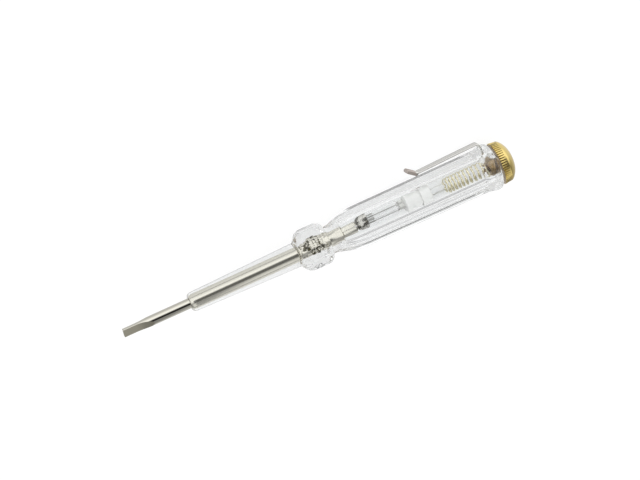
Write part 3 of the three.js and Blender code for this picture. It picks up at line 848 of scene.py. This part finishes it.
def make_lamp():
    size, shade = sizes(), colours()
    make_nose_cap(size, shade)
    make_glass(size, shade)
    nickel = nickel_electrode(shade)
    make_electrode(size, "front_electrode", 1, FRONT_LEAD_START, FRONT_ELECTRODE_END, nickel)
    make_electrode(size, "rear_electrode", -1, REAR_LEAD_END, REAR_ELECTRODE_START, nickel)
    make_rear_contact(size, shade)


# Resistor

def lacquered_ceramic(shade):
    """Fired ceramic, dipped in lacquer caps and all: a white half gloss, mottled every 1.4 mm."""
    material, tree, shader = new_material("lacquered ceramic", {"Roughness": 0.35})
    mottle = streaks(tree, 1.4 * MM, 1.4 * MM)
    tone = add_node(tree, "ShaderNodeMix", {"data_type": "RGBA"},
                    values={"A": with_alpha(shade.ceramic, 0.92), "B": with_alpha(shade.ceramic)},
                    links={"Factor": (mottle, "Fac")})
    tree.links.new(tone.outputs["Result"], shader.inputs["Base Color"])
    return material


def make_resistor():
    """The rod, the cap that is pressed over each of its ends, and the wire at the rear."""
    size, shade = sizes(), colours()
    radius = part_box("resistor_rod")[1].y
    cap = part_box("resistor_rear_cap")[1].y
    wall, edge = size.thin_wall, 0.4 * MM
    lacquer = lacquered_ceramic(shade)
    outline = [(ROD_START, radius - edge)]
    outline += arc(outline[0], (ROD_START, radius), (ROD_START + edge, radius))
    outline += [(ROD_END - edge, radius)]
    outline += arc(outline[-1], (ROD_END, radius), (ROD_END, radius - edge))
    dressed(smooth(turned("resistor_rod", outline, sides=64)), "handle", ["resistor_rod"], lacquer)

    for name, closed, mouth in (("resistor_front_cap", RESISTOR_START, FRONT_CAP_END),
                                ("resistor_rear_cap", RESISTOR_END, REAR_CAP_START)):
        inward = 1 if mouth > closed else -1
        outline = [(closed, cap - edge)]
        outline += arc(outline[0], (closed, cap), (closed + inward * edge, cap))
        outline += [(mouth, cap), (mouth, cap - wall), (closed + inward * wall, cap - wall)]
        dressed(smooth(turned(name, outline, 64)), "handle", [name], lacquer)

    wire = size.wire / 2
    lead = turned("resistor_lead", [
        (WIRE_START, wire), (WIRE_END - wire / 2, wire), (WIRE_END, wire / 2)], sides=24)
    dressed(smooth(lead), "handle", ["resistor_lead"], matte_tin("matte tinned wire", shade))


# Spring

def brass_wire(shade):
    """Brass wire, hard drawn and coiled: pale gold and bright, with a mottle 1.7 mm wide along it."""
    return metal("drawn brass wire", shade.spring, roughness=0.2, spread=0.05,
                 run=1.7 * MM, spacing=1.7 * MM, bump=0.1)


def spring_radius(size, share):
    """The curls open out from the front one, which grips the resistor's wire, to the full body."""
    half = size.spring_wire / 2
    body = size.spring_front / 2 - half + (size.spring_rear - size.spring_front) / 2 * share
    grip = size.wire / 2 + half + 0.15 * MM
    return grip + (body - grip) * math.sin(min(share / size.clamp_share, 1) * math.pi / 2)


def make_spring():
    """A curve is wound curl by curl, with the curls closer at the front, and given its thickness."""
    size = sizes()
    half = size.spring_wire / 2
    start, end = SPRING_START + half, SPRING_END - half
    even_share = 0.72
    points_per_curl = 40
    steps = round(size.spring_curls * points_per_curl)
    path = bpy.data.curves.new("spring_path", "CURVE")
    path.dimensions = "3D"
    path.bevel_depth = half
    path.bevel_resolution = 3
    path.use_fill_caps = True
    line = path.splines.new("POLY")
    line.points.add(steps)
    for step in range(steps + 1):
        share = step / steps
        turn = share * size.spring_curls * WHOLE_TURN
        radius = spring_radius(size, share)
        along = share * (even_share + (1 - even_share) * share)
        line.points[step].co = (
            start + (end - start) * along, radius * math.cos(turn), radius * math.sin(turn), 1)
    piece = bpy.data.objects.new("contact_spring", path)
    bpy.context.scene.collection.objects.link(piece)
    select_only(piece)
    bpy.ops.object.convert(target="MESH")
    piece = smooth(bpy.context.object, 50)
    dressed(piece, "spring", ["contact_spring"], brass_wire(colours()))


# Screw cap

def turned_brass(shade, size, outer, rear, dull_end):
    """Brass, turned and polished: warm gold with rings 0.33 mm apart from the lathe.

    The grooves between the ribs are coloured darker, which is painted shade. The thread, the nose and the
    seat against the handle are dull and brown. The lathe's real rings are about 0.05 mm apart, and drawn
    coarser so that they show.
    """
    material = metal("turned brass", shade.brass, roughness=0.16, spread=0.05,
                     run=0.33 * MM, spacing=3.3 * MM, bump=0.12)
    under_ribs = outer - size.rib_draft - 0.02 * MM
    # Painted shade: the brass in the grooves between the ribs is coloured darker to stand for the shade there
    cut_surface(material, rear, under_ribs, shade.groove, roughness=0.3)
    dull_before(material, dull_end, shade.tarnish, roughness=0.32)
    return material


def rib_cutter(size, start, outer):
    """A ring around the cap's rim with one tooth for each groove between the ribs.

    Each rib takes four points of the ring: the groove's bottom, the rib's crest and its two edges.
    """
    points = 4 * size.ribs
    past, clear, blunt = outer + OVERRUN, outer + 0.03 * MM, outer - 0.05 * MM
    front, rear = start - OVERRUN, start + size.rib_length
    piece = turned("grooves", [(front, past), (rear, past), (rear, clear), (front, clear), (front, past)],
                   points, closed=True)

    def lies_at(steps):
        def wanted(vert):
            turn = math.atan2(vert.co.z, vert.co.y) / WHOLE_TURN
            inside = math.hypot(vert.co.y, vert.co.z) < (past + clear) / 2
            return inside and round(turn * points) % 4 in steps
        return wanted

    select_only(piece)
    bpy.ops.object.mode_set(mode="EDIT")
    for steps, radius in (((0,), outer - size.rib_height), ((1, 3), blunt)):
        pick(piece, "VERT", lies_at(steps))
        bpy.ops.transform.resize(value=(1, radius / clear, radius / clear), center_override=(0, 0, 0))
    bpy.ops.object.mode_set(mode="OBJECT")
    return piece


def threaded_stub(size, start):
    """The stub that reaches into the bore, with its nose, and the thread as a row of ridges."""
    nose, thread, pitch = size.stub_nose / 2, size.thread / 2, size.thread_pitch
    root = thread - size.thread_depth
    chamfer, into_cap, gap = 0.4 * MM, 0.5 * MM, 0.02 * MM
    stub_start = start - size.thread_length
    stub = turned("stub", [
        (STUB_NOSE, nose - chamfer), (STUB_NOSE + chamfer, nose), (stub_start, nose),
        (stub_start, root - chamfer), (stub_start + chamfer, root), (start + into_cap, root)], sides=96)
    place = stub_start + 0.45 * MM
    inside = root - 0.1 * MM
    while place + pitch < start:
        ridge = turned("ridge", [
            (place, inside), (place, root), (place + 0.42 * pitch, thread), (place + 0.58 * pitch, thread),
            (place + pitch, root), (place + pitch, inside)], sides=96)
        joined(stub, ridge, "UNION")
        place += pitch + gap
    return stub


def make_cap():
    """A domed cap, its ribs cut into the rim, with the threaded stub that holds it in the bore."""
    size = sizes()
    start = HANDLE_END + size.cap_gap
    outer = size.cap / 2
    narrowed = outer - size.rib_draft
    edge, band = 0.15 * MM, 0.25 * MM
    inside_thread = size.thread / 2 - 0.1 * MM
    shoulder = start + size.rib_length + band
    dome = CAP_END - shoulder
    outline = [(start, inside_thread), (start, outer - edge), (start + edge, outer),
               (start + size.rib_length, narrowed), (shoulder, narrowed)]
    outline += bow(outline[-1], (CAP_END - 0.72 * dome, narrowed), (CAP_END, 0.62 * outer),
                   (CAP_END, size.cap_disc / 2), 20)
    body = turned("screw_cap", outline, 4 * size.ribs)
    joined(body, rib_cutter(size, start, outer), "DIFFERENCE")
    joined(body, threaded_stub(size, start), "UNION")
    smooth(body, 20)
    seat = start + 0.05 * MM
    brass = turned_brass(colours(), size, outer, shoulder, seat)
    dressed(body, "cap", ["screw_cap"], brass)


# Clip

def nickel_strip(shade, worn_end):
    """Spring steel strip, rolled and nickel plated: a soft silver sheen along the strip.

    The plating has worn to a warm brown at the fold, which slides over cloth. Rolling leaves lines
    about 0.05 mm apart. They are 0.4 mm apart here, so that they show.
    """
    material = metal("nickel plated strip", shade.clip, roughness=0.26, spread=0.06,
                     run=16.7 * MM, spacing=0.4 * MM, bump=0.15)
    dull_before(material, worn_end, shade.worn, roughness=0.5)
    return material


def strip_line(size, at, front):
    """The strip's middle line in the XY plane, from inside the hem over the bend down to the foot."""
    slope = (size.clip_rear - size.clip_front) / (at - front[0])
    bend = size.clip_bend
    line = [front, (at - bend, size.clip_rear - slope * bend)]
    line += arc(line[-1], (at, size.clip_rear), (at, size.clip_rear - bend), 8)
    return line + [(at, size.rim / 2), (at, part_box("clip_foot")[0].y)]


def bent_strip(size, line):
    """An edge across the strip is extruded along the middle line, thickened, and its edges are rounded."""
    width, edge = size.clip_width, 0.22 * MM
    middle = line[0][0] + width / 2
    bpy.ops.object.select_all(action="DESELECT")
    bpy.ops.mesh.primitive_plane_add(size=width, location=(middle, line[0][1], 0),
                                     rotation=(math.pi / 2, 0, 0))
    piece = named("clip")
    bpy.ops.object.mode_set(mode="EDIT")
    pick(piece, "VERT", lambda vert: vert.co.x > middle)
    bpy.ops.mesh.delete(type="VERT")
    bpy.ops.mesh.select_all(action="SELECT")
    drawn_along(line, bpy.ops.mesh.extrude_edges_move)
    closed_up()
    thick = piece.modifiers.new("Thickness", "SOLIDIFY")
    thick.thickness = size.clip_thickness
    thick.offset = 0
    thick.use_even_offset = True
    return bevelled(piece, edge)


def clip_hem(size, front, end):
    """The folded end: a ring is drawn out to a slot shape and extruded across the strip."""
    edge = 0.3 * MM
    middle = Vector((*end, -size.clip_width / 2))
    run = Vector((front[0] - end[0], front[1] - end[1], 0))
    bpy.ops.object.select_all(action="DESELECT")
    bpy.ops.mesh.primitive_circle_add(
        vertices=40, radius=size.hem_thickness / 2, fill_type="NGON", location=middle)
    piece = named("hem")
    bpy.ops.object.mode_set(mode="EDIT")
    pick(piece, "VERT", lambda vert: (vert.co - middle).dot(run) > 0)
    bpy.ops.transform.translate(value=run)
    bpy.ops.mesh.select_all(action="SELECT")
    bpy.ops.mesh.extrude_region_move(TRANSFORM_OT_translate={"value": (0, 0, size.clip_width)})
    closed_up()
    return bevelled(piece, edge)


def make_clip():
    """The strip with its hem is one piece, with a fixed bend between the foot and the arm."""
    size = sizes()
    low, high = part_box("clip_foot")
    at = (low.x + high.x) / 2
    end = (CLIP_FRONT + size.hem_thickness / 2, size.clip_front + size.hem_rise)
    front = (end[0] + size.hem_run, size.clip_front)
    piece = bent_strip(size, strip_line(size, at, front))
    joined(piece, clip_hem(size, front, end), "UNION")
    smooth(piece, 40)
    dressed(piece, None, ["clip_foot", "clip_arm"], nickel_strip(colours(), front[0]))
    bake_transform(piece)


# Stage

def by_ray(tree, rays, lit, mirrored, through, direct):
    """One value for lit surfaces, one in reflections, one through clear pieces and one for the camera."""
    first = add_node(tree, "ShaderNodeMix", {"data_type": "FLOAT"}, values={"A": lit, "B": mirrored},
                     links={"Factor": (rays, "Is Glossy Ray")})
    second = add_node(tree, "ShaderNodeMix", {"data_type": "FLOAT"}, values={"B": through},
                      links={"Factor": (rays, "Is Transmission Ray"), "A": (first, "Result")})
    return add_node(tree, "ShaderNodeMix", {"data_type": "FLOAT"}, values={"B": direct},
                    links={"Factor": (rays, "Is Camera Ray"), "A": (second, "Result")})


def sweep_paper(shade):
    """White card, unprinted: matt and even, and white to the camera, with the tool's soft shadow on it.

    A share of it glows, which keeps it white, and the rest takes light as any card does.
    """
    material, tree, shader = new_material("white sweep paper", {
        "Base Color": with_alpha(shade.paper), "Roughness": 0.6})
    rays = add_node(tree, "ShaderNodeLightPath")
    glow_share = by_ray(tree, rays, lit=0.0, mirrored=0.75, through=0.5, direct=0.75)
    strength = by_ray(tree, rays, lit=1.0, mirrored=0.62, through=0.96, direct=1.06)
    place = add_node(tree, "ShaderNodeTexCoord")
    parts = add_node(tree, "ShaderNodeSeparateXYZ", links={"Vector": (place, "Object")})
    # Behind the cap the paper falls into shade on the side away from the clip
    shaded = add_node(tree, "ShaderNodeMapRange", {"interpolation_type": "SMOOTHSTEP"},
                      values={"From Min": -20 * MM, "From Max": 12 * MM, "To Min": 0.3, "To Max": 0.95},
                      links={"Value": (parts, "Y")})
    behind = add_node(tree, "ShaderNodeMath", {"operation": "GREATER_THAN"}, values={1: CAP_END},
                      links={0: (parts, "X")})
    mirror = add_node(tree, "ShaderNodeMath", {"operation": "MULTIPLY"},
                      links={0: (behind, "Value"), 1: (rays, "Is Glossy Ray")})
    unseen = add_node(tree, "ShaderNodeMath", {"operation": "SUBTRACT"},
                      links={0: (mirror, "Value"), 1: (rays, "Is Camera Ray")})
    strength = add_node(tree, "ShaderNodeMix", {"data_type": "FLOAT"}, links={
        "Factor": (unseen, "Value"), "A": (strength, "Result"), "B": (shaded, "Result")})
    # Seen through the clear plastic, the paper darkens away from the tool, which draws the plastic's edges
    beside = add_node(tree, "ShaderNodeMath", {"operation": "ABSOLUTE"}, links={0: (parts, "Y")})
    away = add_node(tree, "ShaderNodeMapRange", {"interpolation_type": "SMOOTHSTEP"},
                    values={"From Min": 15 * MM, "From Max": 50 * MM}, links={"Value": (beside, "Value")})
    dim = add_node(tree, "ShaderNodeMath", {"operation": "MULTIPLY"},
                   links={0: (away, "Result"), 1: (rays, "Is Transmission Ray")})
    strength = add_node(tree, "ShaderNodeMix", {"data_type": "FLOAT"}, values={"B": 0.0},
                        links={"Factor": (dim, "Value"), "A": (strength, "Result")})
    glow = add_node(tree, "ShaderNodeEmission", values={"Color": with_alpha((1, 1, 1))},
                    links={"Strength": (strength, "Result")})
    mixed = add_node(tree, "ShaderNodeMixShader", links={
        0: (glow_share, "Result"), 1: (shader, "BSDF"), 2: (glow, "Emission")})
    tree.links.new(mixed.outputs["Shader"], tree.nodes["Material Output"].inputs["Surface"])
    return material


def make_floor():
    bpy.ops.object.select_all(action="DESELECT")
    bpy.ops.mesh.primitive_plane_add(size=4000 * MM, location=(0, 0, CAD_BOUNDS[0][2]))
    floor = named("floor")
    floor.data.materials.append(sweep_paper(colours()))


# The studio's light round the tool's axis, as angles from straight up and strengths. Angles below
# zero lie on the clip's side. The dark stretch overhead is what draws a dark line along the blade
STUDIO = ((-90, 0.9), (-68, 1.2), (-48, 1.5), (-33, 1.3), (-25, 0.6), (-17, 0.04), (6, 0.02),
          (21, 0.05), (31, 0.35), (44, 0.7), (60, 0.95), (90, 1.0))
BRIGHTEST = max(light for angle, light in STUDIO)


def light_round_axis(tree, parts):
    """The strength that STUDIO gives for a direction's angle about the tool's axis."""
    away = add_node(tree, "ShaderNodeMath", {"operation": "MULTIPLY"}, values={1: -1},
                    links={0: (parts, "Y")})
    angle = add_node(tree, "ShaderNodeMath", {"operation": "ARCTAN2"},
                     links={0: (away, "Value"), 1: (parts, "Z")})
    spread = add_node(tree, "ShaderNodeMapRange",
                      values={"From Min": -math.pi / 2, "From Max": math.pi / 2},
                      links={"Value": (angle, "Value")})
    ramp = add_node(tree, "ShaderNodeValToRGB", links={"Fac": (spread, "Result")})
    ramp.color_ramp.interpolation = "EASE"
    stops = ramp.color_ramp.elements
    for degrees, light in STUDIO[1:-1]:
        stops.new((degrees + 90) / 180)
    for stop, (degrees, light) in zip(stops, STUDIO):
        stop.color = with_alpha([light / BRIGHTEST] * 3)
    return add_node(tree, "ShaderNodeMath", {"operation": "MULTIPLY"}, values={1: BRIGHTEST},
                    links={0: (ramp, "Color")})


def make_world(scene):
    """A soft studio all round the tool, which is plain to matt surfaces and patterned to mirrors."""
    band_middle, band_edge, past_band = 0.17, 0.1, 0.28
    on_matt, in_plastic, on_matt_in_plastic = 1.2, 1.25, 1.4
    world = bpy.data.worlds.new("studio")
    scene.world = world
    world.use_nodes = True
    tree = world.node_tree
    background = tree.nodes["Background"]
    background.inputs["Color"].default_value = with_alpha((1, 1, 1))
    place = add_node(tree, "ShaderNodeTexCoord")
    parts = add_node(tree, "ShaderNodeSeparateXYZ", links={"Vector": (place, "Generated")})
    level = light_round_axis(tree, parts)
    # The pattern fills a band across the middle of the tool. Towards the tool's ends it gives way to light
    # that grows towards the clip's side
    beside = add_node(tree, "ShaderNodeMath", {"operation": "SUBTRACT"}, values={1: band_middle},
                      links={0: (parts, "X")})
    reach = add_node(tree, "ShaderNodeMath", {"operation": "ABSOLUTE"}, links={0: (beside, "Value")})
    ends = add_node(tree, "ShaderNodeMapRange", {"interpolation_type": "SMOOTHSTEP"},
                    values={"From Min": band_edge, "From Max": past_band},
                    links={"Value": (reach, "Value")})
    side = add_node(tree, "ShaderNodeMapRange", {"interpolation_type": "SMOOTHSTEP"},
                    values={"From Min": -0.5, "From Max": 0.3, "To Min": 0.3, "To Max": 1.35},
                    links={"Value": (parts, "Y")})
    light = add_node(tree, "ShaderNodeMix", {"data_type": "FLOAT"}, links={
        "Factor": (ends, "Result"), "A": (level, "Value"), "B": (side, "Result")})
    # Through the plastic an eighth of the light is even, as if the moulding spread it
    rays = add_node(tree, "ShaderNodeLightPath")
    soft = add_node(tree, "ShaderNodeMix", {"data_type": "FLOAT"},
                    values={"Factor": 0.88, "A": in_plastic}, links={"B": (light, "Result")})
    # A matt piece in the handle is lit evenly, with what the plastic takes away made up for
    matt = add_node(tree, "ShaderNodeMath", {"operation": "GREATER_THAN"}, values={1: 0.5},
                    links={0: (rays, "Diffuse Depth")})
    through = add_node(tree, "ShaderNodeMix", {"data_type": "FLOAT"}, values={"B": on_matt_in_plastic},
                       links={"Factor": (matt, "Value"), "A": (soft, "Result")})
    mirrored = add_node(tree, "ShaderNodeMix", {"data_type": "FLOAT"}, values={"A": on_matt},
                        links={"Factor": (rays, "Is Glossy Ray"), "B": (light, "Result")})
    seen = add_node(tree, "ShaderNodeMix", {"data_type": "FLOAT"}, links={
        "Factor": (rays, "Is Transmission Ray"), "A": (mirrored, "Result"), "B": (through, "Result")})
    tree.links.new(seen.outputs["Result"], background.inputs["Strength"])


def make_camera(scene):
    """The camera stands over the tool, leaning towards the clip's side and towards the tip."""
    lean, tilt, roll = (math.radians(degrees) for degrees in (15, 10, 24.4))
    distance = 1500 * MM
    width_seen = 207.6 * MM
    middle, raised = 71 * MM, 1.2 * MM
    data = bpy.data.cameras.new("camera")
    camera = bpy.data.objects.new("camera", data)
    scene.collection.objects.link(camera)
    scene.camera = camera
    data.sensor_width = 36
    data.lens = data.sensor_width * distance / width_seen
    along = Vector((1, 0, 0))
    above = Vector((0, math.sin(lean), math.cos(lean)))
    back = (above * math.cos(tilt) - along * math.sin(tilt)).normalized()
    level = (along - back * along.dot(back)).normalized()
    up = back.cross(level)
    turn = Matrix.Rotation(-roll, 3, back)
    matrix = Matrix((turn @ level, turn @ up, back)).transposed().to_4x4()
    matrix.translation = along * middle + up * raised + back * distance
    camera.matrix_world = matrix


def make_stage():
    scene = bpy.context.scene
    scene.view_settings.view_transform = "Standard"
    # Light turns many times in the clear handle before it leaves
    scene.cycles.glossy_bounces = 40
    scene.cycles.transmission_bounces = 40
    scene.cycles.max_bounces = 64
    make_floor()
    make_world(scene)
    make_camera(scene)


# Operators, panel and registration

class TESTER_OT_stage(bpy.types.Operator):
    """Builds the floor, the studio light and the camera"""

    bl_idname = "tester.stage"
    bl_label = "Stage"

    def execute(self, context):
        make_stage()
        return {"FINISHED"}


class TESTER_OT_handle(bpy.types.Operator):
    """Models the clear handle with its bore and the clip's slot"""

    bl_idname = "tester.handle"
    bl_label = "Handle"

    def execute(self, context):
        make_handle()
        return {"FINISHED"}


class TESTER_OT_blade(bpy.types.Operator):
    """Models the blade with its ground tip and the ears that lock it in the collar"""

    bl_idname = "tester.blade"
    bl_label = "Blade"

    def execute(self, context):
        make_blade()
        return {"FINISHED"}


class TESTER_OT_lamp(bpy.types.Operator):
    """Models the lamp's nose cap, glass, electrodes and rear contact"""

    bl_idname = "tester.lamp"
    bl_label = "Lamp"

    def execute(self, context):
        make_lamp()
        return {"FINISHED"}


class TESTER_OT_resistor(bpy.types.Operator):
    """Models the resistor's rod, both of its caps and its lead"""

    bl_idname = "tester.resistor"
    bl_label = "Resistor"

    def execute(self, context):
        make_resistor()
        return {"FINISHED"}


class TESTER_OT_spring(bpy.types.Operator):
    """Models the contact spring"""

    bl_idname = "tester.spring"
    bl_label = "Spring"

    def execute(self, context):
        make_spring()
        return {"FINISHED"}


class TESTER_OT_cap(bpy.types.Operator):
    """Models the ribbed screw cap with its thread and nose"""

    bl_idname = "tester.cap"
    bl_label = "Screw cap"

    def execute(self, context):
        make_cap()
        return {"FINISHED"}


class TESTER_OT_clip(bpy.types.Operator):
    """Models the pocket clip: its foot, bend, arm and folded end"""

    bl_idname = "tester.clip"
    bl_label = "Pocket clip"

    def execute(self, context):
        make_clip()
        return {"FINISHED"}


OPERATORS = (
    TESTER_OT_stage, TESTER_OT_handle, TESTER_OT_blade, TESTER_OT_lamp,
    TESTER_OT_resistor, TESTER_OT_spring, TESTER_OT_cap, TESTER_OT_clip)


class TESTER_PT_panel(bpy.types.Panel):
    """Lists the pieces, and the sizes and colours that they are made with"""

    bl_idname = "TESTER_PT_panel"
    bl_label = "Voltage tester screwdriver"
    bl_space_type = "VIEW_3D"
    bl_region_type = "UI"
    bl_category = "Tester"

    def draw(self, context):
        for operator in OPERATORS:
            self.layout.operator(operator.bl_idname)
        for group in (sizes(), colours()):
            box = self.layout.box()
            for name in type(group).__annotations__:
                box.prop(group, name)


CLASSES = (TesterSizes, TesterColours, *OPERATORS, TESTER_PT_panel)


def register():
    for added in CLASSES:
        bpy.utils.register_class(added)
    bpy.types.Scene.tester_sizes = bpy.props.PointerProperty(type=TesterSizes)
    bpy.types.Scene.tester_colours = bpy.props.PointerProperty(type=TesterColours)


def unregister():
    del bpy.types.Scene.tester_colours
    del bpy.types.Scene.tester_sizes
    for added in reversed(CLASSES):
        bpy.utils.unregister_class(added)


def main():
    register()
    bpy.ops.tester.stage()
    bpy.ops.tester.handle()
    bpy.ops.tester.blade()
    bpy.ops.tester.lamp()
    bpy.ops.tester.resistor()
    bpy.ops.tester.spring()
    bpy.ops.tester.cap()
    bpy.ops.tester.clip()


if __name__ == "__main__":
    main()
